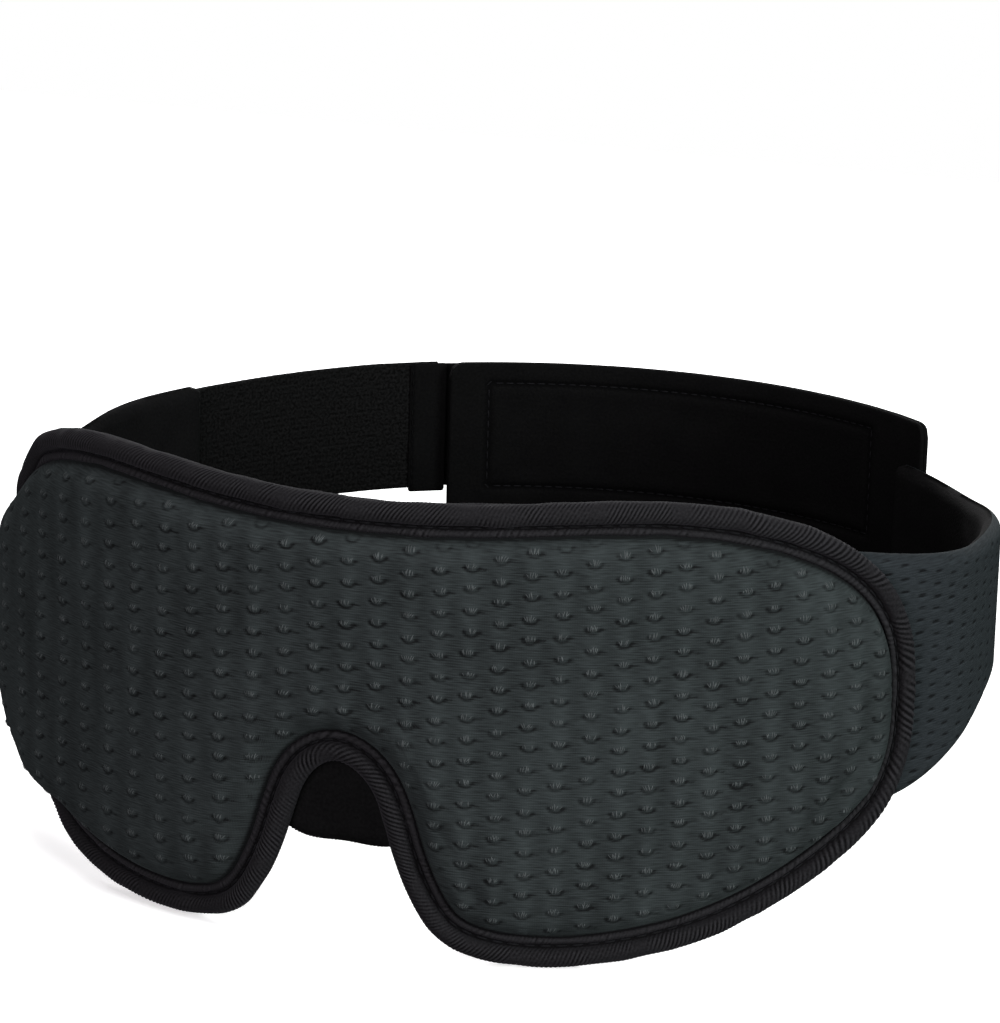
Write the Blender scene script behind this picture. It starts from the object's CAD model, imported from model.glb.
import math

import bmesh
import bpy
import numpy as np
from mathutils import Matrix, Vector


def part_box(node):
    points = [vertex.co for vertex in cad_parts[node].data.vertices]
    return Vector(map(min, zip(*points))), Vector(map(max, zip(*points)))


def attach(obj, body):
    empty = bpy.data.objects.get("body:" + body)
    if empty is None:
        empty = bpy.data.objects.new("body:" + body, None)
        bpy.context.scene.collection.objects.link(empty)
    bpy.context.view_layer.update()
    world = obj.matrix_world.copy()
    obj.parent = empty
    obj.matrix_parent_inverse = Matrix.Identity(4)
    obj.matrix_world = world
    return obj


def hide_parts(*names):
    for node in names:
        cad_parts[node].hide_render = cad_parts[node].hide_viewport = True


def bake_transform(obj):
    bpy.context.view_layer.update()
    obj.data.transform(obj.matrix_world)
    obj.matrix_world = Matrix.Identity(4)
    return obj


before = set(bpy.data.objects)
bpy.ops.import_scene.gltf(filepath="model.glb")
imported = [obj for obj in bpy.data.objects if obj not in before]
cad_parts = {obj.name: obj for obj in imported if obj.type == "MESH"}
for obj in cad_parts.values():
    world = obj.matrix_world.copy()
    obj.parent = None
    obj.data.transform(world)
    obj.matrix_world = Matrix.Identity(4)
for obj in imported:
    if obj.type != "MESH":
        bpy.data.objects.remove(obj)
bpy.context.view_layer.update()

MM = 0.001
SEED = 7

# ---- sizes, in millimetres ----------------------------------------------------
# The object lies along one closed loop round the head.  A place on it is given by
# s, the length along the loop from the nose, d, how far outside it, and the height z.
HALF_WIDTH = 102.3
FRONT_DEPTH = 78.5
BACK_DEPTH = 118.0
TEMPLE_RADIUS = 47.0
SIDE_RADIUS = 130.0

# Right half of the mask's outline, from the brow to the top of the nose notch.
MASK_HALF = (
    (0, 88.4), (20, 88.9), (43, 90.3), (58, 90.6), (72, 89.2), (85, 85.9), (97, 80.6), (107, 72.4),
    (112.7, 62), (114.3, 50), (113.4, 38), (108.5, 27.5), (99, 19.2), (86, 11.5), (70, 4.9), (54, 1.2),
    (38, 0), (27.5, 1.2), (20.5, 4.4), (15.2, 11.2), (11.4, 20), (8.6, 28.6), (4.6, 35), (0, 37),
)

BINDING_WIDTH = 6.2         # tape, from its fold to its inner edge
FACE_UNDER = 3.4            # how far the face fabric runs under the tape


def nose_shift():
    """How far the loop's widest line lies in front of the frame's origin, in mm."""
    flap_outside = -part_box("nose_flap_cover")[0].y / MM
    return flap_outside - FRONT_DEPTH


# d of the plies, as the CAD's pieces lie
FLAP_OUTSIDE = -1.9
MIDDLE = nose_shift() - FLAP_OUTSIDE


# ---- the loop: four kinds of tangent arc --------------------------------------
def far_radius(width, depth, near_radius):
    """Radius of the arc over the middle plane that meets the near arc smoothly."""
    return (width ** 2 + depth ** 2 - 2 * width * near_radius) / (2 * (depth - near_radius))


FRONT_RADIUS = far_radius(HALF_WIDTH, FRONT_DEPTH, TEMPLE_RADIUS)
BACK_RADIUS = far_radius(HALF_WIDTH, BACK_DEPTH, SIDE_RADIUS)
FRONT_CENTRE = (0.0, FRONT_RADIUS - FRONT_DEPTH)
BACK_CENTRE = (0.0, BACK_DEPTH - BACK_RADIUS)
FRONT_TURN = math.atan2(HALF_WIDTH - TEMPLE_RADIUS, FRONT_CENTRE[1])
BACK_TURN = math.atan2(SIDE_RADIUS - HALF_WIDTH, BACK_CENTRE[1])
ARCS = (
    (FRONT_CENTRE, FRONT_RADIUS, 0.0, FRONT_TURN),
    ((HALF_WIDTH - TEMPLE_RADIUS, 0.0), TEMPLE_RADIUS, FRONT_TURN, math.pi / 2 - FRONT_TURN),
    ((HALF_WIDTH - SIDE_RADIUS, 0.0), SIDE_RADIUS, math.pi / 2, math.pi / 2 - BACK_TURN),
    (BACK_CENTRE, BACK_RADIUS, math.pi - BACK_TURN, BACK_TURN),
)
HALF_LOOP = sum(radius * turn for _, radius, _, turn in ARCS)


def place(s, d, z):
    """Points in the frame, in metres, for arrays of s, d and z in millimetres."""
    s, d, z = np.broadcast_arrays(*(np.asarray(v, float) for v in (s, d, z)))
    side = np.where(s >= 0, 1.0, -1.0)
    run = np.abs(s)
    side = np.where(run > HALF_LOOP, -side, side)
    run = np.where(run > HALF_LOOP, 2 * HALF_LOOP - run, run)
    x = np.zeros(s.shape)
    y = np.zeros(s.shape)
    start = 0.0
    for centre, radius, heading, turn in ARCS:
        here = (run >= start) if centre is BACK_CENTRE else (run >= start) & (run <= start + radius * turn)
        angle = heading + (run - start) / radius
        x = np.where(here, centre[0] + (radius + d) * np.sin(angle), x)
        y = np.where(here, centre[1] - (radius + d) * np.cos(angle), y)
        start += radius * turn
    return np.stack([side * x, y - MIDDLE, z], axis=-1) * MM


def ease(t):
    """Smooth step from 0 to 1."""
    t = np.clip(t, 0.0, 1.0)
    return t * t * (3 - 2 * t)


# ---- smooth lines -------------------------------------------------------------
def flat_points(s, z):
    """Flat points as rows of (s, z)."""
    return np.stack([s.ravel(), z.ravel()], axis=1)


def lengths_of(line):
    """The length along a line at each of its points."""
    return np.concatenate([[0], np.cumsum(np.linalg.norm(np.diff(line, axis=0), axis=1))])


def points_at(wanted, lengths, line):
    """The points of a line at the wanted lengths along it."""
    return np.stack([np.interp(wanted, lengths, line[:, k]) for k in (0, 1)], axis=1)


def closed_spline(points, steps):
    """A closed cubic spline through the points, evenly stepped along its length."""
    knots = np.array(points, float)
    count = len(knots)
    spans = np.linalg.norm(np.roll(knots, -1, axis=0) - knots, axis=1)
    matrix = np.zeros((count, count))
    right = np.zeros((count, 2))
    for i in range(count):
        before, after = spans[i - 1], spans[i]
        matrix[i, i - 1] += before
        matrix[i, i] += 2 * (before + after)
        matrix[i, (i + 1) % count] += after
        rise = (knots[(i + 1) % count] - knots[i]) / after - (knots[i] - knots[i - 1]) / before
        right[i] = 6 * rise
    bend = np.linalg.solve(matrix, right)
    line = []
    for i in range(count):
        j = (i + 1) % count
        t = np.linspace(0, 1, 60, endpoint=False)[:, None]
        h = spans[i]
        straight = (1 - t) * knots[i] + t * knots[j]
        bow = ((1 - t) ** 3 - (1 - t)) * bend[i] + (t ** 3 - t) * bend[j]
        line.append(straight + bow * h * h / 6)
    return even_steps(np.concatenate(line), steps)


def even_steps(line, steps):
    """A closed line resampled at equal lengths."""
    closed = np.vstack([line, line[:1]])
    lengths = lengths_of(closed)
    return points_at(np.linspace(0, lengths[-1], steps, endpoint=False), lengths, closed)


def inwards(line):
    """Unit normals of a closed clockwise line, pointing inwards."""
    along = np.roll(line, -1, axis=0) - np.roll(line, 1, axis=0)
    along /= np.linalg.norm(along, axis=1)[:, None]
    return np.stack([along[:, 1], -along[:, 0]], axis=1)


LEFT_HALF = tuple((-s, z) for s, z in reversed(MASK_HALF[1:-1]))
OUTLINE = closed_spline(MASK_HALF + LEFT_HALF, 1600)
OUTLINE_IN = inwards(OUTLINE)


def edge_distance(s, z):
    """Distance of flat points from the mask's outline."""
    nodes = OUTLINE[::4]
    flat = flat_points(s, z)
    best = np.full(len(flat), 1e9)
    for start in range(0, len(flat), 20000):
        part = flat[start:start + 20000]
        gaps = part[:, None, :] - nodes[None, :, :]
        best[start:start + 20000] = np.sqrt((gaps ** 2).sum(-1).min(1))
    return best.reshape(s.shape)


def tape_share(s, z):
    """How much of the tape's width shows: at the mask's left end it is rolled behind the face."""
    lower = ease((50 - z) / 20)
    rolled = ease((-s - 84 + 16 * lower) / 20) * ease((78 - z) / 16)
    return 1 - 0.7 * rolled


def corner_pull(s, z):
    """How far the upper left corner is drawn in, in mm."""
    return 3.0 * ease((-s - 86) / 14) * ease((z - 50) / 16)


def tape_tuck(s, z):
    """How far the tape alone is drawn in, under the padding's lower left corner, in mm."""
    return 2.4 * ease((-s - 64) / 22) * ease((42 - z) / 14)


def seam_distance(s, z):
    """Distance of flat points from the inner edge of the tape."""
    return edge_distance(s, z) - BINDING_WIDTH * tape_share(s, z) - corner_pull(s, z)


def inside_mask(inset):
    """A test for flat points that lie at least so far inside the tape's inner edge."""
    low, high, left, right = mask_rows(BINDING_WIDTH + inset)

    def test(s, z):
        return (s > left) & (s < right) & (z > low(s)) & (z < high(s))

    return test


def mask_rows(inset):
    """The mask's lower and upper height at each s, so far inside its outline, and its two ends."""
    s, z = OUTLINE.T
    return outline_rows(OUTLINE + (inset * tape_share(s, z) + corner_pull(s, z))[:, None] * OUTLINE_IN)


def outline_rows(line):
    """Functions giving the lower and the upper height of a closed outline, and its two ends."""
    line = from_left_end(line)
    right = int(np.argmax(line[:, 0]))
    upper, lower = line[:right + 1], np.vstack([line[right:], line[:1]])[::-1]

    def low(s):
        return np.interp(s, lower[:, 0], lower[:, 1])

    def high(s):
        return np.interp(s, upper[:, 0], upper[:, 1])

    return low, high, line[0, 0], line[right, 0]


def from_left_end(line):
    """A closed line that starts at its left end."""
    return np.roll(line, -int(np.argmin(line[:, 0])), axis=0)


# ---- noise --------------------------------------------------------------------
def wander(s, z, size, seed):
    """Smooth random field of about unit height, with bumps of the given size in mm."""
    chance = np.random.default_rng(SEED + seed)
    cells = chance.standard_normal((64, 64))
    u = (s / size) % 64
    v = (z / size) % 64
    i, j = np.floor(u).astype(int), np.floor(v).astype(int)
    a, b = ease(u - i), ease(v - j)
    i2, j2 = (i + 1) % 64, (j + 1) % 64
    i, j = i % 64, j % 64
    low = cells[i, j] * (1 - a) + cells[i2, j] * a
    high = cells[i, j2] * (1 - a) + cells[i2, j2] * a
    return low * (1 - b) + high * b


# ---- meshes -------------------------------------------------------------------
def make_mesh(name, points, faces, uv=None):
    """A smooth mesh object from arrays of points and faces."""
    mesh = bpy.data.meshes.new(name)
    mesh.from_pydata([tuple(p) for p in points], [], [tuple(f) for f in faces])
    mesh.polygons.foreach_set("use_smooth", [True] * len(mesh.polygons))
    if uv is not None:
        layer = mesh.uv_layers.new(name="flat")
        corners = np.zeros(len(mesh.loops), int)
        mesh.loops.foreach_get("vertex_index", corners)
        layer.data.foreach_set("uv", np.asarray(uv, float)[corners].ravel())
    mesh.update()
    thing = bpy.data.objects.new(name, mesh)
    bpy.context.scene.collection.objects.link(thing)
    return thing


def set_tone(piece, values):
    """Stores how much lighter or darker each point's yarn is."""
    layer = piece.data.attributes.new("tone", "FLOAT", "POINT")
    layer.data.foreach_set("value", np.asarray(values, np.float32).ravel())


def grid_faces(rows, columns, start=0, closed=False, flip=False):
    """Faces of a grid of points stored row by row; closed joins the last column to the first."""
    r = np.arange(rows - 1)[:, None]
    c = np.arange(columns if closed else columns - 1)[None, :]
    after = (c + 1) % columns
    quad = [r * columns + c, r * columns + after, (r + 1) * columns + after, (r + 1) * columns + c]
    if flip:
        quad = quad[::-1]
    return (np.stack(np.broadcast_arrays(*quad), axis=-1).reshape(-1, 4) + start).tolist()


def tube_faces(rings, sides, start):
    """Faces of a closed tube whose points are stored ring by ring."""
    ends = [tuple(start + c for c in reversed(range(sides))),
            tuple(start + (rings - 1) * sides + c for c in range(sides))]
    return grid_faces(rings, sides, start, closed=True) + ends


def level_at(d):
    """An offset that is the same everywhere."""
    return lambda s, z: 0 * s + d


def panel(name, columns, low, high, rows, front, back, back_rows=None, tone=None, back_tone=None):
    """A closed piece of cloth over the flat columns s, from the height low(s) to high(s).

    front and back give its outer and inner offsets at flat points.  A back with fewer
    rows suits a piece whose first and last columns have no height."""
    parts = []
    for count in (rows, back_rows or rows):
        share = np.linspace(0, 1, count)[:, None]
        s = np.broadcast_to(columns[None, :], (count, len(columns)))
        z = low(columns)[None, :] * (1 - share) + high(columns)[None, :] * share
        parts.append((s, z))
    wide = len(columns)
    flats = [flat_points(s, z) for s, z in parts]
    (s0, z0), (s1, z1) = parts
    outer = place(s0, front(s0, z0), z0).reshape(-1, 3)
    inner = place(s1, back(s1, z1), z1).reshape(-1, 3)
    points = np.vstack([outer, inner])
    second = rows * wide
    faces = grid_faces(rows, wide) + grid_faces(len(s1), wide, second, flip=True)
    for c in range(wide - 1):
        faces.append((c + 1, c, second + c, second + c + 1))
        top0, top1 = (rows - 1) * wide + c, second + (len(s1) - 1) * wide + c
        faces.append((top0, top0 + 1, top1 + 1, top1))
    if len(s1) == rows:
        for r in range(rows - 1):
            for c in (0, wide - 1):
                a, b = r * wide + c, (r + 1) * wide + c
                side = (a, b, second + b, second + a)
                faces.append(side if c == 0 else side[::-1])
    piece = make_mesh(name, points, faces, np.vstack(flats))
    plain = level_at(0)
    set_tone(piece, np.concatenate([(tone or plain)(s0, z0).ravel(), (back_tone or plain)(s1, z1).ravel()]))
    if len(s1) != rows:
        weld(piece)
    return piece


def weld(piece):
    """Joins points that lie together, so that a piece is closed."""
    form = bmesh.new()
    form.from_mesh(piece.data)
    bmesh.ops.remove_doubles(form, verts=form.verts, dist=1e-6)
    form.to_mesh(piece.data)
    form.free()
    piece.data.update()


def spline_through(points):
    """A smooth height function z(s) through (s, z) points, level with their trend at the ends."""
    knots = np.array(points, float)
    s, z = knots[:, 0], knots[:, 1]
    slopes = np.gradient(z, s)

    def height(x):
        x = np.abs(np.asarray(x, float))
        i = np.clip(np.searchsorted(s, x) - 1, 0, len(s) - 2)
        h = s[i + 1] - s[i]
        t = (x - s[i]) / h
        value = (2 * t ** 3 - 3 * t ** 2 + 1) * z[i] + (t ** 3 - 2 * t ** 2 + t) * h * slopes[i]
        return value + (3 * t ** 2 - 2 * t ** 3) * z[i + 1] + (t ** 3 - t ** 2) * h * slopes[i + 1]

    return height


def stitches(name, spots, headings, outward, length, radius):
    """Short rounded stitches at spots, lying along headings on faces that look outward."""
    rings, sides = 7, 6
    t = np.linspace(-1, 1, rings)
    thick = np.sqrt(np.clip(1 - t ** 4, 0.05, 1))
    angle = np.arange(sides) * 2 * math.pi / sides
    points, faces = [], []
    for spot, heading, out in zip(spots, headings, outward):
        heading = heading / np.linalg.norm(heading)
        out = out / np.linalg.norm(out)
        side = np.cross(heading, out)
        start = len(points) * rings * sides
        arch = radius * 0.7 * (1 - t ** 2)
        ring = np.cos(angle)[None, :, None] * side + np.sin(angle)[None, :, None] * out
        body = spot + heading * (t * length / 2)[:, None, None] + out * arch[:, None, None]
        points.append((body + ring * (radius * thick)[:, None, None]).reshape(-1, 3))
        faces += tube_faces(rings, sides, start)
    return make_mesh(name, np.vstack(points), faces)


def flat_stitches(name, line, d, pitch, length, radius, sign=1, closed=False):
    """Stitches along a flat line of (s, z) points at offset d; sign -1 shows them on the inside."""
    line = np.asarray(line, float)
    if closed:
        line = np.vstack([line, line[:1]])
    runs = lengths_of(line)
    count = max(1, int(runs[-1] / pitch))
    middle = (np.arange(count) + 0.5) * runs[-1] / count
    (s, z), ahead, behind = (points_at(middle + step, runs, line).T for step in (0, 0.2, -0.2))
    spots = place(s, d, z)
    headings = place(ahead[0], d, ahead[1]) - place(behind[0], d, behind[1])
    out = sign * (place(s, d + 1, z) - spots)
    return stitches(name, spots, headings, out, length * MM, radius * MM)


# ---- materials ----------------------------------------------------------------
def material(name, color, roughness, sheen=0.0, sheen_tint=(1, 1, 1)):
    """A node material, its tree and its shader."""
    made = bpy.data.materials.new(name)
    made.use_nodes = True
    shader = made.node_tree.nodes["Principled BSDF"]
    shader.inputs["Base Color"].default_value = (*color, 1)
    shader.inputs["Roughness"].default_value = roughness
    shader.inputs["Specular IOR Level"].default_value = 0.06
    shader.inputs["Sheen Weight"].default_value = sheen
    shader.inputs["Sheen Roughness"].default_value = 0.45
    shader.inputs["Sheen Tint"].default_value = (*sheen_tint, 1)
    return made, made.node_tree, shader


def node(tree, kind, **values):
    """A node with its properties and plain inputs set."""
    made = tree.nodes.new(kind)
    for key, value in values.items():
        if key in made.inputs:
            made.inputs[key].default_value = value
        else:
            setattr(made, key, value)
    return made


def math_node(tree, operation, first, second=None, third=None):
    """The result of a sum on numbers or other nodes' outputs."""
    made = tree.nodes.new("ShaderNodeMath")
    made.operation = operation
    for index, value in enumerate((first, second, third)):
        if value is None:
            continue
        if isinstance(value, (int, float)):
            made.inputs[index].default_value = value
        else:
            tree.links.new(value, made.inputs[index])
    return made.outputs[0]


def mul(tree, first, second):
    """The product of two values."""
    return math_node(tree, "MULTIPLY", first, second)


def mul_add(tree, first, second, third):
    """The product of two values, plus a third."""
    return math_node(tree, "MULTIPLY_ADD", first, second, third)


def flat_axes(tree):
    """The s and z of a point in millimetres, from the piece's flat map."""
    source = node(tree, "ShaderNodeUVMap", uv_map="flat")
    split = tree.nodes.new("ShaderNodeSeparateXYZ")
    tree.links.new(source.outputs["UV"], split.inputs[0])
    return source.outputs["UV"], split.outputs["X"], split.outputs["Y"]


def tone_of(tree):
    """The tone that the mesh stores at each point."""
    return node(tree, "ShaderNodeAttribute", attribute_name="tone").outputs["Fac"]


def wave(tree, value, pitch):
    """A sine of the value with the given pitch, from 0 to 1."""
    return mul_add(tree, math_node(tree, "SINE", mul(tree, value, 2 * math.pi / pitch)), 0.5, 0.5)


def noise(tree, vector, scale, detail=3.0, stretch=None):
    """Fractal noise over a vector, which may be stretched along its axes."""
    if stretch is not None:
        mapping = node(tree, "ShaderNodeMapping")
        mapping.inputs["Scale"].default_value = stretch
        tree.links.new(vector, mapping.inputs["Vector"])
        vector = mapping.outputs["Vector"]
    made = node(tree, "ShaderNodeTexNoise", Scale=scale, Detail=detail)
    tree.links.new(vector, made.inputs["Vector"])
    return made.outputs["Fac"]


def paint(tree, shader, factor, dark, light, low=0.3, high=0.7):
    """Colours a shader from a ramp between two colours."""
    ramp = tree.nodes.new("ShaderNodeValToRGB")
    ramp.color_ramp.elements[0].position = low
    ramp.color_ramp.elements[0].color = (*dark, 1)
    ramp.color_ramp.elements[1].position = high
    ramp.color_ramp.elements[1].color = (*light, 1)
    tree.links.new(factor, ramp.inputs["Fac"])
    tree.links.new(ramp.outputs["Color"], shader.inputs["Base Color"])


def bump(tree, shader, height, distance, strength=1.0):
    """Fine relief on a shader."""
    made = node(tree, "ShaderNodeBump", Strength=strength, Distance=distance)
    tree.links.new(height, made.inputs["Height"])
    tree.links.new(made.outputs["Normal"], shader.inputs["Normal"])


def knit_material(name, dark, light):
    """Fine jersey: horizontal courses of yarn, slight colour wander and a soft nap."""
    made, tree, shader = material(name, light, 0.9, sheen=0.02, sheen_tint=(0.75, 0.9, 0.92))
    flat, s, z = flat_axes(tree)
    blotch = noise(tree, flat, 0.09, 2.0)
    streak = noise(tree, flat, 1.0, 4.0, stretch=(0.34, 3.8, 1.0))
    courses = wave(tree, math_node(tree, "ADD", z, mul(tree, streak, 0.6)), 0.5)
    wales = wave(tree, s, 0.42)
    yarn = mul(tree, courses, mul_add(tree, wales, 0.5, 0.5))
    mix = mul_add(tree, streak, 0.92, mul(tree, blotch, 0.08))
    mix = mul_add(tree, yarn, 0.12, mix)
    mix = mul_add(tree, tone_of(tree), 0.42, mix)
    paint(tree, shader, mix, dark, light, 0.15, 0.8)
    height = mul_add(tree, yarn, 0.5, mul(tree, streak, 0.9))
    bump(tree, shader, height, 0.10 * MM, 0.7)
    return made


def twill_material(name, dark, light):
    """Twill tape: its ribs come with the piece's tone, its cross threads and fuzz from here."""
    made, tree, shader = material(name, light, 0.9, sheen=0.02, sheen_tint=(0.9, 0.85, 1.0))
    flat, t, arc = flat_axes(tree)
    cross = wave(tree, math_node(tree, "SUBTRACT", t, mul(tree, arc, 1.6)), 0.45)
    fuzz = noise(tree, flat, 2.2, 4.0)
    mix = mul_add(tree, tone_of(tree), 0.62, mul(tree, fuzz, 0.9))
    paint(tree, shader, mix, dark, light, 0.1, 0.85)
    height = mul_add(tree, cross, 0.35, mul(tree, fuzz, 0.6))
    bump(tree, shader, height, 0.1 * MM, 0.8)
    return made


def cloth_material(name, dark, light, roughness=0.95, grain=1.6, low=0.3, high=0.7):
    """Plain dark cloth: a fine nap with colour wander."""
    made, tree, shader = material(name, light, roughness)
    flat = flat_axes(tree)[0]
    nap = noise(tree, flat, grain, 5.0)
    wide = noise(tree, flat, 0.12, 2.0)
    mix = mul_add(tree, nap, 0.7, mul(tree, wide, 0.3))
    mix = mul_add(tree, tone_of(tree), 0.3, mix)
    paint(tree, shader, mix, dark, light, low, high)
    bump(tree, shader, nap, 0.15 * MM, 0.7)
    return made


def elastic_material(name, dark, light):
    """Woven elastic: pale flecks of the rubber's covering thread on dark cloth."""
    made, tree, shader = material(name, light, 0.9)
    flat, _, z = flat_axes(tree)
    flecks = noise(tree, flat, 1.7, 2.0)
    warp = wave(tree, z, 1.2)
    mix = mul_add(tree, flecks, 1.5, mul(tree, warp, 0.12))
    paint(tree, shader, mix, dark, light, 0.6, 1.0)
    bump(tree, shader, flecks, 0.3 * MM, 0.9)
    return made


def thread_material(name, color):
    """Spun thread: plies a little darker than the rest."""
    made, tree, shader = material(name, color, 0.7)
    coords = node(tree, "ShaderNodeTexCoord")
    plies = noise(tree, coords.outputs["Object"], 900.0, 3.0)
    dark = tuple(c * 0.6 for c in color)
    paint(tree, shader, plies, dark, color, 0.3, 0.7)
    bump(tree, shader, plies, 0.05 * MM, 0.6)
    return made


KNIT = knit_material("dimpled_knit", (0.0045, 0.0052, 0.0054), (0.0250, 0.0305, 0.0312))
WING_KNIT_CLOTH = knit_material("dimpled_knit_wings", (0.0036, 0.0041, 0.0047), (0.0190, 0.0228, 0.0258))
TWILL = twill_material("binding_twill", (0.0018, 0.0017, 0.002), (0.0160, 0.0156, 0.0172))
LINING = cloth_material("inside_lining", (0.0010, 0.0010, 0.0011), (0.0044, 0.0044, 0.0046))
ELASTIC = elastic_material("woven_elastic", (0.0003, 0.0003, 0.0003), (0.0044, 0.0044, 0.0045))
WEBBING = cloth_material("strap_cloth", (0.0007, 0.0007, 0.0008), (0.0028, 0.0028, 0.0029))
LOOPS = cloth_material("loop_pile", (0.001, 0.001, 0.0011), (0.006, 0.006, 0.0063), 1.0, 3.0)
HOOKS = cloth_material("hook_plastic", (0.002, 0.002, 0.002), (0.006, 0.006, 0.006), 0.5, 2.4)
THREAD = thread_material("sewing_thread", (0.006, 0.006, 0.007))
DARK_THREAD = thread_material("dark_sewing_thread", (0.0016, 0.0016, 0.0018))
LOOP_THREAD = thread_material("knit_loops", (0.062, 0.070, 0.071))


def dress(piece, look, body, slot, *nodes):
    """Gives a piece its material, its body, its finish slot and the CAD nodes it stands for."""
    piece.data.materials.clear()
    piece.data.materials.append(look)
    if body is not None:
        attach(piece, body)
    if nodes:
        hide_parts(*nodes)
    return piece


# ---- dimpled knit -------------------------------------------------------------
def knit_pattern(pitches, rise, shift, half_wide, half_tall):
    """Where the knots lie: the pitch of their columns at places along s, and their sizes."""
    knots = np.array(pitches, float)
    along = np.linspace(knots[0, 0], knots[-1, 0], 900)
    rate = 1 / np.interp(along, knots[:, 0], knots[:, 1])
    count = np.concatenate([[0], np.cumsum((rate[1:] + rate[:-1]) / 2 * np.diff(along))])
    return {
        "along": along, "count": count, "rise": rise, "shift": shift, "wide": half_wide, "tall": half_tall,
    }


def chance_of(column, row, seed):
    """A repeatable random number from 0 to 1 for each dimple."""
    mixed = np.sin(column * 12.9898 + row * 78.233 + seed * 37.719) * 43758.5453
    return mixed - np.floor(mixed)


def column_lift(pattern, column):
    """How far a column of knots is shifted up, by a share of the rise for each column."""
    return pattern["rise"] * pattern["shift"] * column + 0.25 * np.sin(column * 1.9)


def dimple_cells(pattern, s, z):
    """For flat points: the nearest dimple's column and row, and the way from its middle."""
    column = np.round(np.interp(s, pattern["along"], pattern["count"]))
    lift = column_lift(pattern, column)
    row = np.round((z - lift) / pattern["rise"])
    middle = np.interp(column, pattern["count"], pattern["along"])
    ds = s - middle - 0.5 * (chance_of(column, row, 3) - 0.5)
    dz = z - lift - row * pattern["rise"] - 0.35 * (chance_of(column, row, 4) - 0.5)
    return column, row, ds, dz


def ellipse(pattern, ds, dz):
    return np.sqrt((ds / pattern["wide"]) ** 2 + (dz / pattern["tall"]) ** 2)


def pull_lines(pattern, column, row, ds, dz):
    """The fine creases that run sideways from each knot."""
    slope = 0.16 * (chance_of(column, row, 6) - 0.8)
    reach = pattern["wide"] * (1.7 + 1.3 * chance_of(column, row, 7))
    low = 0.25 * (chance_of(column, row, 8) - 0.2)
    right = np.exp(-((dz - slope * ds + 0.15 + low) / 0.16) ** 2)
    right = right * ease((ds - pattern["wide"] * 0.5) / 0.5) * ease((reach - ds) / 1.2)
    left = np.exp(-((dz + slope * ds + low) / 0.16) ** 2)
    left = left * ease((-ds - pattern["wide"] * 0.5) / 0.5) * ease((reach * 0.7 + ds) / 1.2)
    return right + 0.6 * left


def dimpling(pattern, s, z, depth):
    """Relief of the dimpled knit, in mm: raised knots, the hollow under each, and creases."""
    column, row, ds, dz = dimple_cells(pattern, s, z)
    size = 0.6 + 0.6 * chance_of(column, row, 1)
    away = ellipse(pattern, ds, dz)
    knot = np.exp(-(away / 0.8) ** 4)
    under = np.exp(-((away - 1.05) / 0.3) ** 2) * ease(0.55 - dz / pattern["tall"])
    crease = pull_lines(pattern, column, row, ds, dz)
    share = np.interp(s, pattern["along"], pattern["count"])
    ridge = 0.5 + 0.5 * np.cos(2 * math.pi * share)
    broad = np.clip(0.55 + 0.45 * wander(s, z, 11.0, 11), 0, 1.2)
    return depth * size * (0.55 * knot - 0.7 * under - 0.35 * crease) + 0.22 * ridge * broad


def dimple_tones(pattern, s, z):
    """How much darker (below 0) or lighter the yarn is round each knot."""
    column, row, ds, dz = dimple_cells(pattern, s, z)
    strength = 0.55 + 0.6 * chance_of(column, row, 2)
    away = ellipse(pattern, ds, dz)
    rim = np.exp(-((away - 1.0) / 0.24) ** 2) * ease(0.5 - dz / pattern["tall"])
    crease = pull_lines(pattern, column, row, ds, dz)
    share = np.interp(s, pattern["along"], pattern["count"])
    band = 0.16 * np.cos(2 * math.pi * share) + 0.12 * wander(s, z * 0.4, 5.0, 12)
    return strength * (-1.0 * rim - 0.85 * crease) + band


def slits(pattern, s, z):
    """The short level slits of the wings' knit, from 0 to 1."""
    column, row, ds, dz = dimple_cells(pattern, s, z)
    strength = 0.5 + 0.5 * chance_of(column, row, 2)
    return strength * np.exp(-np.abs(ds / pattern["wide"]) ** 3 - (dz / pattern["tall"]) ** 2)


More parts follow.
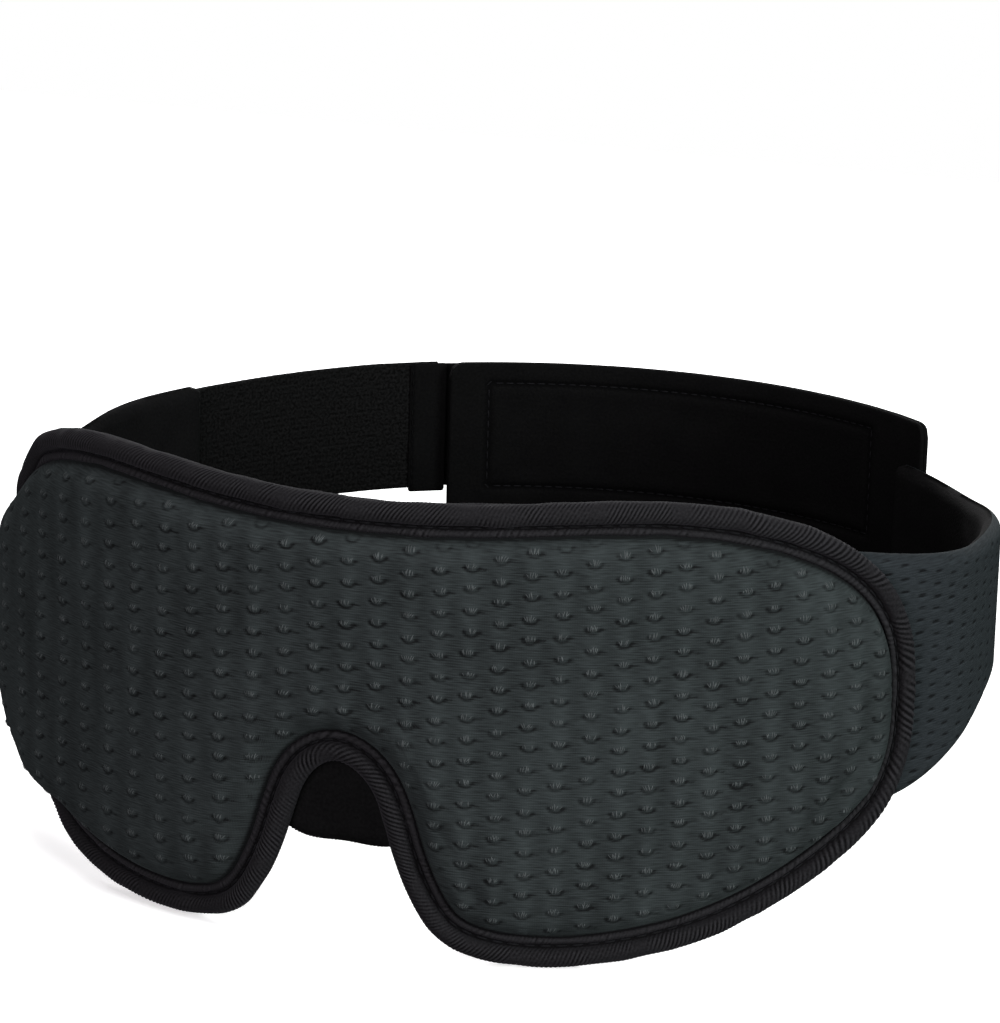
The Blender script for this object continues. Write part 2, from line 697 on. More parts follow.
def dimple_threads(name, pattern, spans, offset, keep):
    """The fine strands of yarn that show on each knot."""
    s0, s1, z0, z1 = spans
    points, faces, flats = [], [], []
    length, half = 5, 0.075
    first, last = (np.interp(v, pattern["along"], pattern["count"]) for v in (s0, s1))
    rise, wide, tall = pattern["rise"], pattern["wide"], pattern["tall"]
    spots = []
    for column in range(math.ceil(first), math.floor(last) + 1):
        lift = float(column_lift(pattern, column))
        middle = float(np.interp(column, pattern["count"], pattern["along"]))
        for row in range(math.ceil((z0 - lift) / rise), math.floor((z1 - lift) / rise) + 1):
            s = middle + 0.5 * float(chance_of(column, row, 3) - 0.5)
            z = row * rise + lift + 0.35 * float(chance_of(column, row, 4) - 0.5)
            spots.append((column, row, s, z))
    inside = keep(np.array([v[2] for v in spots]), np.array([v[3] for v in spots]))
    t = np.linspace(-1, 1, length)[:, None]
    u = np.array([-1, 0, 1.0])[None, :]
    for (column, row, s, z), wanted in zip(spots, inside):
        if not wanted:
            continue
        for index, across in enumerate((-0.8, -0.5, -0.2, 0.1, 0.4, 0.7)):
            chance = [float(chance_of(column, row, 12 + 7 * k + index)) for k in range(4)]
            if chance[3] < 0.15:
                continue
            high = tall * (0.62 - 0.35 * across ** 2) * (0.55 + 0.6 * chance[0])
            shift = 0.3 * (chance[1] - 0.5)
            lean = 0.28 * wide * (across * 0.5 + chance[2] - 0.4)
            ss = s + across * wide * 0.8 + shift + lean * t + half * u * (1 - 0.6 * t ** 2)
            zz = z + 0.10 - 0.2 * across ** 2 + high * t + 0 * u
            raised = 0.03 + 0.12 * (1 - t ** 2) + 0.04 * (1 - u ** 2)
            start = len(points) * length * 3
            points.append((ss, zz, raised))
            flats.append(flat_points(ss, zz))
            faces += grid_faces(length, 3, start)
    ss, zz, raised = (np.stack([np.broadcast_to(p[k], (length, 3)) for p in points]) for k in range(3))
    level = offset(ss.reshape(-1, 3), zz.reshape(-1, 3)).reshape(ss.shape)
    spots = place(ss, level + raised, zz).reshape(-1, 3)
    return make_mesh(name, spots, faces, np.vstack(flats))


FACE_KNIT = knit_pattern(
    ((-118, 12.0), (-104, 12.0), (-92, 9.6), (-80, 8.6), (-60, 8.1), (-45, 7.6), (-30, 7.1), (0, 5.95),
     (30, 5.45), (80, 5.5), (118, 5.6)),
    4.13, 0.32, 1.35, 1.05)
WING_KNIT = {
    "right": knit_pattern(((90, 4.6), (122, 4.8), (132, 6.0), (142, 7.0), (255, 7.0)), 2.5, 0.5, 1.15, 0.25),
    "left": knit_pattern(((-200, 6.2), (-90, 6.2)), 2.5, 0.5, 0.85, 0.2),
}


# ---- mask front ---------------------------------------------------------------
GROOVE = 1.1                # d of the groove between the tape and the face
SWELL = 3.75                # how far the padding stands proud of the groove
END_SWELL = 0.9             # and how much further at the mask's two ends
LEFT_SWELL = 1.7            # the left end's padding is pushed out a little more
ROUNDING = 5.4              # width of the padding's rounded shoulder
CROWN = 1.2                 # how far the cloth stands over the foam


def padding(distance, swell, rounding):
    """Height of a padded surface at a distance from the edge of its seam."""
    t = np.clip(distance / rounding, 0, 1)
    return swell * (1 - (1 - t) ** 2.6)


def pumped_cloth(columns, low, high, rows):
    """Cloth sewn down all round and pumped up over the foam: how far each point of a grid rises, in mm."""
    pad = panel("pad_cloth", columns, low, high, rows,
                lambda s, z: GROOVE + padding(seam_distance(s, z), SWELL, ROUNDING), level_at(-0.2))
    count = rows * len(columns)
    grid = np.arange(count).reshape(rows, -1)
    sewn = np.concatenate([grid[0], grid[-1], grid[:, 0], grid[:, -1], np.arange(count, 2 * count)])
    group = pad.vertex_groups.new(name="sewn")
    group.add([int(v) for v in sewn], 1.0, "REPLACE")
    cloth = pad.modifiers.new("cloth", "CLOTH").settings
    cloth.quality = 6
    cloth.mass = 0.2
    cloth.vertex_group_mass = "sewn"
    cloth.use_pressure = True
    cloth.uniform_pressure_force = 4
    cloth.effector_weights.gravity = 0
    scene = bpy.context.scene
    for moment in range(1, 21):
        scene.frame_set(moment)
    pumped = pad.evaluated_get(bpy.context.evaluated_depsgraph_get())
    moved = np.array([v.co for v in pumped.data.vertices])[:count]
    rest = np.array([v.co for v in pad.data.vertices])[:count]
    share = np.linspace(0, 1, rows)[:, None]
    s = np.broadcast_to(columns[None, :], (rows, len(columns)))
    z = low(columns)[None, :] * (1 - share) + high(columns)[None, :] * share
    outward = (place(s, 1, z) - place(s, 0, z)).reshape(-1, 3) / MM
    rise = ((moved - rest) * outward).sum(1).reshape(rows, -1) / MM
    scene.frame_set(1)
    bpy.data.objects.remove(pad)
    return rise


def make_crown():
    low, high, left, right = mask_rows(BINDING_WIDTH)
    columns, rows = np.linspace(left + 2, right - 2, 84), 34
    rise = pumped_cloth(columns, low, high, rows)
    rise = CROWN * np.tanh(np.maximum(rise, 0) / np.percentile(rise, 90))

    def crown(s, z):
        across = np.interp(s, columns, np.arange(len(columns)))
        up = np.clip((z - low(s)) / np.maximum(high(s) - low(s), 1), 0, 1) * (rows - 1)
        i, j = np.minimum(across.astype(int), len(columns) - 2), np.minimum(up.astype(int), rows - 2)
        a, b = across - i, up - j
        lower = rise[j, i] * (1 - a) + rise[j, i + 1] * a
        upper = rise[j + 1, i] * (1 - a) + rise[j + 1, i + 1] * a
        return lower * (1 - b) + upper * b

    return crown


crown_over_foam = make_crown()


def face_offset(s, z):
    distance = seam_distance(s, z)
    ends = ease((np.abs(s) - 80) / 26) * ease((80 - z) / 20)
    left_end = 0.3 * ease((-s - 84) / 18) * ease((74 - z) / 20)
    left_end = left_end + 0.75 * ease((-s - 62) / 22) * np.exp(-((z - 12) / 13) ** 2)
    d = GROOVE + padding(distance, SWELL + END_SWELL * ends + LEFT_SWELL * left_end, ROUNDING)
    d = np.where(distance < 0, GROOVE - 0.12 * np.minimum(-distance, 4), d)
    d = d + crown_over_foam(s, z) * ease(distance / 6)
    d = d + 0.22 * wander(s, z, 16, 3) * ease(distance / 8)
    return d + dimpling(FACE_KNIT, s, z, 0.4) * ease(distance / 2.0)


def build_face():
    low, high, left, right = mask_rows(FACE_UNDER)
    columns = np.linspace(left, right, 620)

    def tone(s, z):
        near = seam_distance(s, z)
        return dimple_tones(FACE_KNIT, s, z) * ease(near / 2) - 1.5 * ease(1 - near / 0.9)

    face = panel("face_pad", columns, low, high, 232, face_offset,
                 level_at(-0.2), back_rows=6, tone=tone)
    dress(face, KNIT, "mask", "knit", "face_fabric", "foam_core")
    threads = dimple_threads("face_loops", FACE_KNIT, (left, right, 0, 92), face_offset,
                             inside_mask(1.6))
    dress(threads, LOOP_THREAD, "mask", "knit")


def rim_of_tape():
    """Cross-section of the binding: (inwards from the fold, d), once round."""
    outside = ((0.0, 0.3), (0.3, 1.5), (1.0, 2.45), (2.0, 2.95), (3.0, 2.8), (3.7, 2.2), (4.15, 1.15),
               (4.5, 1.15), (4.9, 1.6), (5.4, 1.85), (5.9, 1.7), (6.3, 0.9))
    inside = ((6.3, -0.9), (5.8, -1.55), (5.1, -1.6), (4.7, -1.3), (4.1, -1.7), (3.0, -2.3), (1.9, -2.4),
              (0.9, -1.8), (0.25, -0.8))
    line = closed_spline(outside + inside, 240)
    # more of the points lie on the outside, which shows
    share = np.concatenate([[0], np.cumsum(np.where(line[:-1, 1] > 0, 1.0, 0.45))])
    wanted = np.linspace(0, share[-1], 54, endpoint=False)
    return points_at(wanted, share, line)


RIB_PITCHES = ((-112, 1.05), (-60, 0.95), (0, 0.87), (60, 0.82), (88, 1.1), (112, 1.5))
RIB_SLANT = 0.62            # how far a rib moves along the edge for each mm across
GROOVE_AT = 4.35            # the stitched groove, inwards from the tape's fold
LIP_AT = 5.4                # the tape's flat lip, beyond the groove


def build_binding():
    profile = rim_of_tape()
    turned = np.roll(profile, -1, axis=0) - np.roll(profile, 1, axis=0)
    turned /= np.linalg.norm(turned, axis=1)[:, None]
    out = np.stack([-turned[:, 1], turned[:, 0]], axis=1)
    arc = lengths_of(profile)
    steps = 3600
    line = closed_spline(MASK_HALF + LEFT_HALF, steps)
    normal = inwards(line)
    step = np.linalg.norm(np.roll(line, -1, axis=0) - line, axis=1)
    along = np.concatenate([[0], np.cumsum(step[:-1])])
    rate = 1 / np.interp(line[:, 0], *np.array(RIB_PITCHES).T)
    count = np.concatenate([[0], np.cumsum((step * rate)[:-1])])
    whole = (step * rate).sum()
    count = count * round(whole) / whole
    grid_along = along[:, None] + 0 * arc
    grid_arc = 0 * along[:, None] + arc
    drift = 0.3 * wander(grid_along, grid_arc, 7.0, 22)
    turns = count[:, None] + arc[None, :] * RIB_SLANT * rate[:, None] + drift
    rib = np.sin(2 * math.pi * turns)
    strength = np.clip(0.55 + 0.5 * wander(grid_along, grid_arc, 3.0, 23), 0.1, 1.3)
    upper = ease((arc - 0.3) / 0.8) * ease((6.4 - arc) / 2.0)
    coarse = wander(grid_along, grid_arc, 5.0, 21)
    lip = np.exp(-((profile[:, 0] - LIP_AT) / 0.4) ** 2) * (profile[:, 1] > 0)
    knobs = np.sin(2 * math.pi * turns * 0.6) * np.clip(wander(grid_along, grid_arc * 0, 2.0, 24), 0, 1)
    relief = 0.11 * rib * strength * (0.3 + 0.7 * upper) + 0.10 * coarse + 0.14 * knobs * lip
    share = tape_share(line[:, 0], line[:, 1])[:, None]
    w = profile[None, :, 0] + relief * out[None, :, 0]
    d = profile[None, :, 1] + relief * out[None, :, 1]
    front = d > 0
    drawn_in = corner_pull(line[:, 0], line[:, 1]) + tape_tuck(line[:, 0], line[:, 1])
    w = np.where(front, w * share, w) + drawn_in[:, None]
    d = np.where(front, d * (1 - 0.7 * (1 - share)), d)
    s = line[:, None, 0] + w * normal[:, None, 0]
    z = line[:, None, 1] + w * normal[:, None, 1]
    points = place(s, d, z).reshape(-1, 3)
    sides = len(profile)
    faces = grid_faces(steps, sides, closed=True)
    last = (steps - 1) * sides
    for c in range(sides):
        after = (c + 1) % sides
        faces.append((last + c, last + after, after, c))
    tape = make_mesh("binding_tape", points, faces, flat_points(grid_along, grid_arc))
    tape.data.flip_normals()
    groove = np.exp(-((profile[:, 0] - GROOVE_AT) / 0.3) ** 2) * (profile[:, 1] > 0)
    crevice = np.exp(-((profile[:, 0] - 6.3) / 0.22) ** 2) * (profile[:, 1] > 0)
    tones_along = rib * strength * (0.3 + 0.7 * upper)
    set_tone(tape, tones_along + (0.35 + 0.5 * knobs) * lip - (3.0 * groove + 2.4 * crevice)[None, :])
    dress(tape, TWILL, "mask", "tape", "edge_binding")
    s, z = OUTLINE.T
    seam = OUTLINE + (GROOVE_AT * tape_share(s, z) + corner_pull(s, z))[:, None] * OUTLINE_IN
    thread = flat_stitches("binding_stitches", seam, 1.25, 3.0, 2.2, 0.2, closed=True)
    dress(thread, THREAD, "mask", "thread", "binding_thread")


# ---- inside of the mask -------------------------------------------------------
EYE_S, EYE_Z = 37.0, 55.0
EYE_HALF = (28.0, 19.0)
EYE_DEPTH = 6.2
INSIDE_DEPTH = 5.2          # how far the lining swells towards the wearer


def inside_offset(s, z):
    distance = edge_distance(s, z) - BINDING_WIDTH
    d = -1.0 - padding(distance, INSIDE_DEPTH, 8.0)
    d = np.where(distance < 0, -1.0 + 0.1 * np.minimum(-distance, 4), d)
    oval = (np.abs((np.abs(s) - EYE_S) / EYE_HALF[0]) ** 2.4 + np.abs((z - EYE_Z) / EYE_HALF[1]) ** 2.4)
    cup = ease((1.12 - oval) / 0.5)
    lip = np.exp(-((oval - 1.15) / 0.22) ** 2)
    d = d + EYE_DEPTH * cup * ease(distance / 6) - 0.8 * lip * ease(distance / 6)
    return d + 0.12 * wander(s, z, 12, 5) * ease(distance / 8)


def build_inside():
    low, high, left, right = mask_rows(FACE_UNDER)
    columns = np.linspace(left, right, 240)
    lining = panel("inside_pad", columns, low, high, 96, level_at(-0.3), inside_offset)
    weld(lining)
    dress(lining, LINING, "mask", "lining", "inner_lining", "left_eye_cup", "right_eye_cup")


# ---- nose flap ----------------------------------------------------------------
FLAP_HALF = (
    (0, 40.6), (4.8, 40.1), (8.4, 37), (11.4, 32.5), (13.8, 27), (14.6, 22.8), (11.5, 20.6), (0, 20),
)


def build_nose_flap():
    mirrored = tuple((-s, z) for s, z in reversed(FLAP_HALF[1:-1]))
    order = from_left_end(closed_spline(FLAP_HALF + mirrored, 200))
    low, high, left, right = outline_rows(order)

    def edge(s, z):
        gaps = flat_points(s, z)[:, None, :] - order[None, ::2, :]
        return np.sqrt((gaps ** 2).sum(-1).min(1)).reshape(s.shape)

    columns = np.linspace(left, right, 80)
    middle = FLAP_OUTSIDE - 1.7
    flap = panel("nose_flap_pad", columns, low, high, 60,
                 lambda s, z: middle + padding(edge(s, z), 1.6, 3.5) + 0.1 * wander(s, z, 6, 8),
                 lambda s, z: middle - 0.15 - padding(edge(s, z), 1.6, 3.5))
    weld(flap)
    dress(flap, LINING, "nose_flap", "lining", "nose_flap_cover", "nose_flap_foam")
    # the short neck by which it hangs from the mask's inside
    across = np.linspace(-3.6, 3.6, 16)
    neck = panel("nose_flap_neck", across, lambda s: 0 * s + 38.0, lambda s: 0 * s + 43.2, 14,
                 lambda s, z: middle + 0.9 + 0.05 * wander(s, z, 3, 9), level_at(middle - 1.2))
    dress(neck, LINING, None, "lining", "nose_flap_hem")
    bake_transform(neck)


# ---- wings --------------------------------------------------------------------
WING_OUTSIDE = -1.9
WING_INSIDE = -5.9
WING_START = 99.0
RIGHT_WING_END = 250.0
LEFT_WING_END = 190.0
WINGS = {
    "right": (
        RIGHT_WING_END,
        ((99, 78), (119, 75), (140, 72.8), (162, 71.6), (186, 69.2), (210, 66), (250, 64.8)),
        ((99, 24.6), (119, 28.4), (135.5, 33.4), (155, 37.8), (188, 37.2), (250, 36.7)),
    ),
    "left": (
        LEFT_WING_END,
        ((99, 73.5), (110, 73), (119, 73), (133, 72), (146, 72.6), (160, 74.6), (190, 75.5)),
        ((99, 26.4), (119, 31), (135.5, 37.4), (152, 42.6), (170, 43.5), (190, 43)),
    ),
}


def build_wing(side):
    end, top, bottom = WINGS[side]
    sign = 1 if side == "right" else -1
    knit = WING_KNIT[side]
    high, low = spline_through(top), spline_through(bottom)
    middle = (WING_OUTSIDE + WING_INSIDE) / 2
    swell = (WING_OUTSIDE - WING_INSIDE) / 2
    round_end = 4.0

    def rise(s):
        """How much the free end's corners are cut back."""
        left = np.clip((np.abs(s) - (end - round_end)) / round_end, 0, 1)
        return round_end * (1 - np.sqrt(np.clip(1 - left ** 2, 0, 1)))

    def edge(s, z):
        near = np.minimum(high(s) - z, z - low(s))
        return np.minimum(near, end - np.abs(s))

    def outside(s, z):
        tuck = 0.75 * ease((136 - np.abs(s)) / 16) if sign < 0 else 0
        soft = padding(edge(s, z), swell - 0.1, 3.2) * (1 - tuck)
        return middle + 0.1 + soft - 0.22 * slits(knit, s, z) * ease((edge(s, z) - 0.8) / 1.5)

    def tone(s, z):
        """Dark slits, with a pale thread under each."""
        mark = 0.15 - 2.4 * slits(knit, s, z) + 0.8 * slits(knit, s, z + 0.5)
        return mark * ease((edge(s, z) - 0.6) / 1.2)

    def inside(s, z):
        return middle - 0.05 - padding(edge(s, z), swell - 0.1, 3.2) + 0.12 * wander(s, z, 10, 15)

    columns = sign * np.linspace(WING_START, end, int((end - WING_START) * 3))
    if sign < 0:
        columns = columns[::-1]
    cut_low = lambda s: low(s) + rise(s)
    cut_high = lambda s: high(s) - rise(s)
    outer = panel(f"{side}_wing_cloth", columns, cut_low, cut_high, 130, outside,
                  level_at(middle + 0.02), tone=tone)
    inner = panel(f"{side}_wing_inside", columns[::3], cut_low, cut_high, 48,
                  level_at(middle - 0.02), inside)
    dress(outer, WING_KNIT_CLOTH, None, "knit",
          f"{side}_wing_fabric", f"{side}_wing_foam", f"{side}_wing_hem")
    dress(inner, LINING, None, "lining", f"{side}_wing_lining")
    for piece in (outer, inner):
        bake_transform(piece)


# ---- left strap ---------------------------------------------------------------
ELASTIC_START, ELASTIC_END = 182.0, 255.3
STRAP_LOW, STRAP_HIGH = 44.4, 73.7
HOOK_IN, HOOK_OUT = 1.6, 2.6
TAB_OUT = 3.9
TAB_HIGH = 73.0             # the tab's top, a little under the panel's
TAB_ROOT_START, TAB_FOLD, TAB_END = 250.4, 257.5, 306.3
PAD_START = 266.5           # the hooks, from the nose
PLY_START, PLY_SEAM, PLY_END = 248.9, 249.5, 257.2


def strip(name, start, end, low, high, inner, outer, corner=0.0, square=None, step=0.7, rows=44,
          relief=None, back=None, back_tone=None):
    """A flat strap between two lengths, with rounded edges, and rounded corners unless its end is square."""
    columns = np.linspace(start, end, max(8, int((end - start) / step)))
    middle = (inner + outer) / 2
    half = (outer - inner) / 2

    def cut(s):
        near = np.minimum(s - start, end - s) if square is None else np.abs(s - (start + end - square))
        left = np.clip((corner - near) / max(corner, 1e-6), 0, 1)
        return corner * (1 - np.sqrt(np.clip(1 - left ** 2, 0, 1)))

    def edge(s, z):
        return np.minimum(np.minimum(high - z, z - low), np.minimum(s - start, end - s) + 0.3)

    def face(s, z):
        extra = relief(s, z) if relief else 0
        return middle + half * (0.35 + 0.65 * padding(edge(s, z), 1, 0.8)) + extra

    def rear(s, z):
        extra = back(s, z) if back else 0
        return middle - half * (0.35 + 0.65 * padding(edge(s, z), 1, 0.8)) + extra

    return panel(name, columns, lambda s: low + cut(s), lambda s: high - cut(s), rows, face, rear,
                 back_tone=back_tone)


def build_elastic():
    low_d = WING_OUTSIDE + 0.3
    high_d = 2.0

    def level(s):
        share = (np.abs(s) - ELASTIC_START) / (ELASTIC_END - ELASTIC_START)
        return low_d + (high_d - low_d) * ease(share)

    def thinner(s, z):
        """The outer face: the elastic is pressed thin where the tab is sewn over it."""
        return weave(s, z) - 0.4 * ease((np.abs(s) - 240) / 8)

    def weave(s, z):
        """The elastic's puckered warp: low bumps in crossed rows."""
        rows = np.sin(2 * math.pi * (s / 1.7 + 0.5 * np.floor(z / 1.2))) * np.sin(2 * math.pi * z / 1.2)
        return level(s) + 0.05 * rows + 0.05 * wander(s, z, 1.1, 33)

    band = strip("elastic_band", -ELASTIC_END, -ELASTIC_START, STRAP_LOW, STRAP_HIGH, 0.0, 1.4,
                 step=0.28, rows=110, relief=thinner, back=weave)
    dress(band, ELASTIC, None, "elastic", "elastic_strap")
    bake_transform(band)
    line = [(-(LEFT_WING_END - 1.0), STRAP_LOW + 1), (-(LEFT_WING_END - 1.0), STRAP_HIGH - 1)]
    seam = flat_stitches("elastic_stitches", line, WING_OUTSIDE + 0.3 + 1.4, 2.6, 2.1, 0.2)
    dress(seam, THREAD, "left_wing", "thread", "elastic_seam")


def ply_seam(s, z):
    """The sewn line near the edge of the doubled strap end, from 0 to 1."""
    return np.exp(-((np.abs(s) - PLY_SEAM) / 0.35) ** 2) * (0.6 + 0.4 * np.sin(2 * math.pi * z / 2.2))


def build_tab():
    """The hook tab: one strap of webbing, doubled where it is sewn over the elastic."""
    def doubled(s, z):
        return 0.4 * ease((TAB_FOLD + 2.5 - np.abs(s)) / 3) + 0.04 * wander(s, z, 4, 34)

    def outside(s, z):
        return 0.15 * ease((TAB_FOLD + 2.5 - np.abs(s)) / 3) + 0.04 * wander(s, z, 4, 35)

    tab = strip("tab_cloth", -TAB_END, -TAB_ROOT_START, STRAP_LOW, TAB_HIGH, 2.7, TAB_OUT, 5.0,
                square=-TAB_ROOT_START, back=doubled, relief=outside,
                back_tone=lambda s, z: -2.0 * np.exp(-((np.abs(s) - TAB_FOLD) / 0.6) ** 2))
    dress(tab, WEBBING, None, "webbing", "tab_root", "hook_tab")
    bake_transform(tab)
    ply = strip("tab_inner_ply", -PLY_END, -PLY_START, STRAP_LOW - 0.8, TAB_HIGH + 0.5, 1.42, 1.96, 0.6,
                step=0.2, back=lambda s, z: 0.05 * wander(s, z, 4, 38) + 0.25 * ply_seam(s, z),
                back_tone=lambda s, z: -2.5 * ply_seam(s, z))
    dress(ply, WEBBING, "strap_end", "webbing")
    line = [(-PLY_SEAM, STRAP_LOW), (-PLY_SEAM, TAB_HIGH - 0.5)]
    thread = flat_stitches("ply_stitches", line, 1.56, 2.2, 1.7, 0.12, sign=-1)
    dress(thread, DARK_THREAD, "strap_end", "thread")
    for index, s in enumerate((TAB_ROOT_START + 1.5, TAB_ROOT_START + 4.3)):
        line = [(-s, STRAP_LOW + 1), (-s, TAB_HIGH - 1)]
        row = flat_stitches(f"tab_stitches_{index + 1}", line, TAB_OUT + 0.15, 2.6, 2.1, 0.2)
        dress(row, THREAD, "strap_end", "thread", *(["tab_seam"] if index == 0 else []))
    hooks = strip("hook_field", -TAB_END + 2, -PAD_START, STRAP_LOW + 2, STRAP_HIGH - 2,
                  HOOK_IN + 0.5, HOOK_OUT, 3.0)
    dress(hooks, HOOKS, "tab", "hooks", "hook_pad")
    hooklets = hook_rows("hook_teeth", -TAB_END + 4, -PAD_START - 1, STRAP_LOW + 3.5, STRAP_HIGH - 3.5)
    dress(hooklets, HOOKS, "tab", "hooks")


def hook_rows(name, start, end, low, high):
    """Rows of small bent hooks on the inside of the tab."""
    pitch, thick, rings, sides = 1.5, 0.13, 5, 4
    s, z = np.meshgrid(np.arange(start, end, pitch), np.arange(low, high, pitch))
    s, z = s.ravel(), z.ravel()
    t = np.linspace(0, 1, rings)
    lean = 0.45 * ease((t - 0.4) / 0.6)
    drop = HOOK_IN + 0.55 - 0.55 * np.sin(t * 2.2)
    angle = np.arange(sides) * 2 * math.pi / sides
    turn = np.where(np.arange(len(s)) % 2 > 0, 1.0, -1.0)[:, None, None]
    ss = s[:, None, None] + turn * lean[None, :, None] + thick * np.cos(angle)[None, None, :]
    zz = z[:, None, None] + thick * np.sin(angle)[None, None, :] + 0 * ss
    dd = drop[None, :, None] + 0 * ss
    points = place(ss, dd, zz).reshape(-1, 3)
    faces = []
    for index in range(len(s)):
        faces += tube_faces(rings, sides, index * rings * sides)
    return make_mesh(name, points, faces)


# ---- right strap --------------------------------------------------------------
PANEL_START = 244.4
PANEL_END = HALF_LOOP + 56.1
PANEL_LOW, PANEL_HIGH = 37.4, 74.0
PATCH = (HALF_LOOP - 51.7, HALF_LOOP + 48.5, 43.8, 70.8)
PANEL_IN, PANEL_OUT = -1.8, 0.1


def patch_edge(s, z, inset=1.5):
    """Distance from the sewn line round the loop patch."""
    s0, s1, z0, z1 = PATCH
    near_s = np.minimum(s - (s0 + inset), (s1 - inset) - s)
    near_z = np.minimum(z - (z0 + inset), (z1 - inset) - z)
    inner = np.minimum(near_s, near_z)
    outer = np.hypot(np.maximum(-near_s, 0), np.maximum(-near_z, 0))
    return np.where(inner > 0, inner, outer)


def build_panel():
    def quilt(s, z):
        """The sewn line pulls the cloth in, and the patch behind it stands a little proud."""
        line = patch_edge(s, z)
        return 0.45 * np.exp(-(line / 0.7) ** 2) - 0.12 * np.exp(-((line - 2.2) / 1.4) ** 2)

    outer = strip("strap_outer_ply", PANEL_START, PANEL_END, PANEL_LOW, PANEL_HIGH, -0.85, PANEL_OUT, 3.2,
                  relief=lambda s, z: 0.04 * wander(s, z, 5, 36))
    dress(outer, WEBBING, "right_wing", "webbing", "strap_panel")
    inner = strip("strap_inner_ply", PANEL_START, PANEL_END, PANEL_LOW, PANEL_HIGH, PANEL_IN, -0.9, 3.2,
                  rows=90, back=lambda s, z: quilt(s, z) + 0.05 * wander(s, z, 7, 37),
                  back_tone=lambda s, z: -2.0 * np.exp(-(patch_edge(s, z) / 0.55) ** 2))
    dress(inner, WEBBING, "right_wing", "webbing", "strap_panel_lining")
    s0, s1, z0, z1 = PATCH
    loops = strip("loop_field", s0, s1, z0, z1, 0.2, 0.95, 2.0, step=0.4, rows=72,
                  relief=lambda s, z: 0.07 * wander(s, z, 0.9, 31))
    dress(loops, LOOPS, "right_wing", "loops", "loop_patch")
    i = 1.5
    line = [(s0 + i, z0 + i), (s0 + i, z1 - i), (s1 - i, z1 - i), (s1 - i, z0 + i)]
    thread = flat_stitches("patch_stitches", line, PANEL_IN + 0.45, 2.4, 1.9, 0.16, sign=-1, closed=True)
    dress(thread, THREAD, "right_wing", "thread", "patch_thread")
    end = RIGHT_WING_END - 1.7
    seam = flat_stitches("panel_stitches", [(end, 39), (end, 61)], PANEL_OUT, 2.6, 2.1, 0.2)
    dress(seam, THREAD, "right_wing", "thread", "panel_seam")


build_face()
build_binding()
build_inside()
build_nose_flap()
build_wing("right")
build_wing("left")
build_elastic()
build_tab()
build_panel()


# ---- floor, light and camera --------------------------------------------------
FLOOR_SIZE = 1.6
PALE = 0.93                 # the floor's brightness
GLOW = (0.42, 1.0)          # its own light, near the object and far from it
GLOW_REACH = (0.22, 0.6)    # the distances between which that changes
LIT = (0, -0.03, 0.04)      # the point that every light looks at
LIGHTS = (
    # name, place, size, power, colour
    ("right", (1.45, -0.45, 0.45), 0.7, 25.5, (0.93, 1.0, 0.97)),
    ("front", (0.15, -1.45, 0.55), 0.7, 15.0, (1.0, 0.92, 0.97)),
    ("top", (0.05, -0.2, 1.3), 0.7, 10.0, (1, 1, 1)),
    ("low", (0.35, -1.2, 0.12), 0.5, 7.0, (1, 1, 1)),
    ("back", (-0.45, 1.2, 0.75), 0.7, 20.0, (1, 1, 1)),
)
AZIMUTH, ELEVATION = math.radians(21.338), math.radians(14.079)
ROLL = 0.02918              # the camera's turn about its own axis
DISTANCE = 0.92628
ACROSS, UP = 0.002174, 0.065809
SENSOR = 36.0
LENS = 4486.83 / 1023 * SENSOR


def floor_material():
    """A pale floor that glows a little, and more further off, so that it runs into the white behind."""
    made = bpy.data.materials.new("pale_floor")
    made.use_nodes = True
    tree = made.node_tree
    shader = tree.nodes["Principled BSDF"]
    shader.inputs["Base Color"].default_value = (PALE, PALE, PALE, 1)
    shader.inputs["Roughness"].default_value = 0.9
    shader.inputs["Emission Color"].default_value = (1, 1, 1, 1)
    spot = node(tree, "ShaderNodeTexCoord").outputs["Object"]
    length = node(tree, "ShaderNodeVectorMath", operation="LENGTH")
    tree.links.new(spot, length.inputs[0])
    spread = node(tree, "ShaderNodeMapRange", interpolation_type="SMOOTHSTEP")
    for name, value in zip(("From Min", "From Max", "To Min", "To Max"), GLOW_REACH + GLOW):
        spread.inputs[name].default_value = value
    tree.links.new(length.outputs["Value"], spread.inputs["Value"])
    tree.links.new(spread.outputs["Result"], shader.inputs["Emission Strength"])
    return made


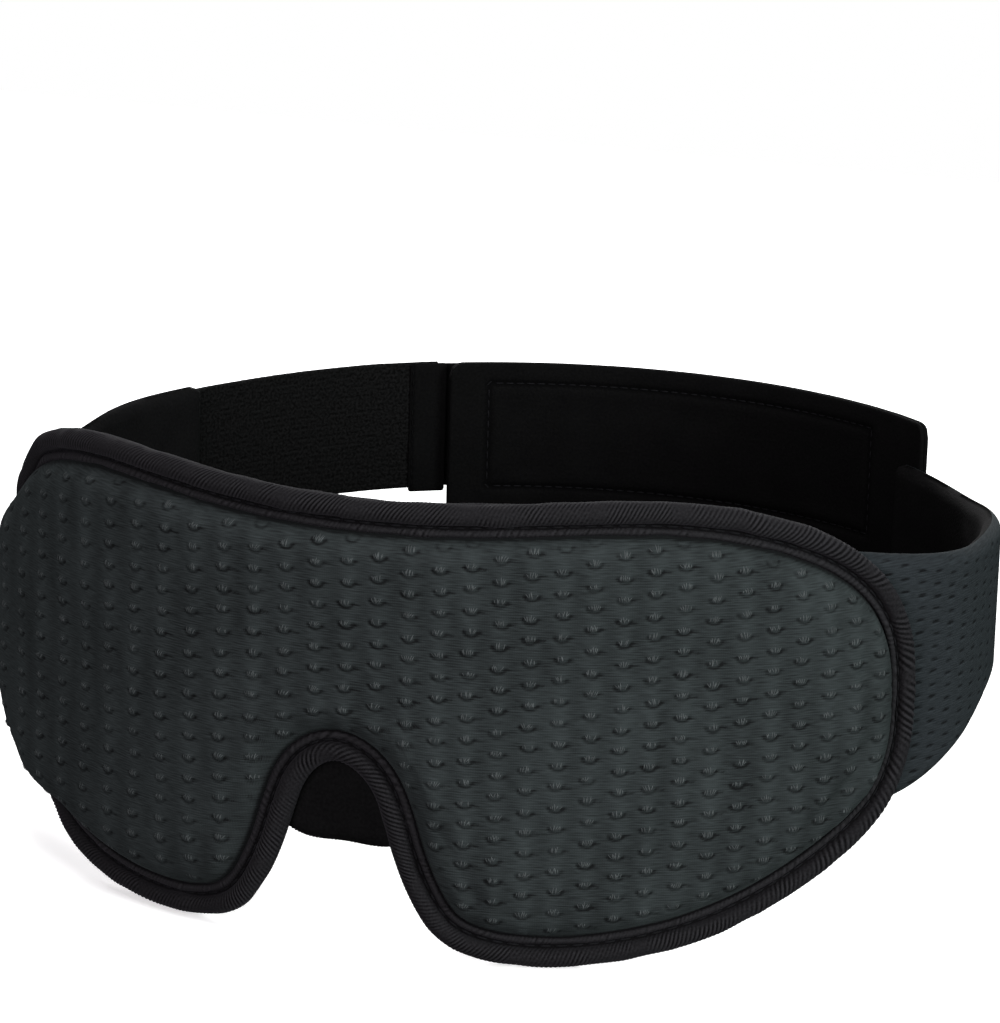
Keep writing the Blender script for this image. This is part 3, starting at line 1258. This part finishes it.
def build_stage():
    """The floor, lit only for the camera: it throws no light back on the object."""
    bpy.ops.mesh.primitive_plane_add(size=FLOOR_SIZE, location=(0, 0, 0))
    floor = bpy.context.object
    floor.name = "floor"
    floor.data.materials.append(floor_material())
    floor.visible_diffuse = False
    floor.visible_glossy = False


def area_light(name, location, size, power, color):
    """A round lamp that looks at the object."""
    light = bpy.data.lights.new(name, "AREA")
    light.shape = "DISK"
    light.size = size
    light.energy = power
    light.color = color
    lamp = bpy.data.objects.new(name, light)
    lamp.location = location
    aim = Vector(LIT) - Vector(location)
    lamp.rotation_euler = aim.to_track_quat("-Z", "Y").to_euler()
    bpy.context.scene.collection.objects.link(lamp)


def build_lights():
    """Soft lamps, and a white world that only the camera sees."""
    for light in LIGHTS:
        area_light(*light)
    world = bpy.data.worlds.new("studio")
    bpy.context.scene.world = world
    world.use_nodes = True
    back = world.node_tree.nodes["Background"]
    back.inputs["Color"].default_value = (1, 1, 1, 1)
    back.inputs["Strength"].default_value = 1.0
    world.cycles_visibility.diffuse = False
    world.cycles_visibility.glossy = False
    view = bpy.context.scene.view_settings
    view.view_transform = "Standard"


def build_camera():
    """A camera round the object, raised, turned by its roll and moved across its own view."""
    right = Vector((math.cos(AZIMUTH), math.sin(AZIMUTH), 0))
    flat = math.cos(ELEVATION)
    look = Vector((-math.sin(AZIMUTH) * flat, math.cos(AZIMUTH) * flat, -math.sin(ELEVATION)))
    above = right.cross(look)
    right_rolled = right * math.cos(ROLL) + above * math.sin(ROLL)
    above_rolled = above * math.cos(ROLL) - right * math.sin(ROLL)
    spot = right_rolled * ACROSS + above_rolled * UP - look * DISTANCE
    spot.y -= MIDDLE * MM
    lens = bpy.data.cameras.new("camera")
    lens.sensor_fit = "AUTO"
    lens.sensor_width = SENSOR
    lens.lens = LENS
    camera = bpy.data.objects.new("camera", lens)
    turn = Matrix((right_rolled, above_rolled, -look)).transposed().to_4x4()
    camera.matrix_world = Matrix.Translation(spot) @ turn
    bpy.context.scene.collection.objects.link(camera)
    bpy.context.scene.camera = camera


build_stage()
build_lights()
build_camera()
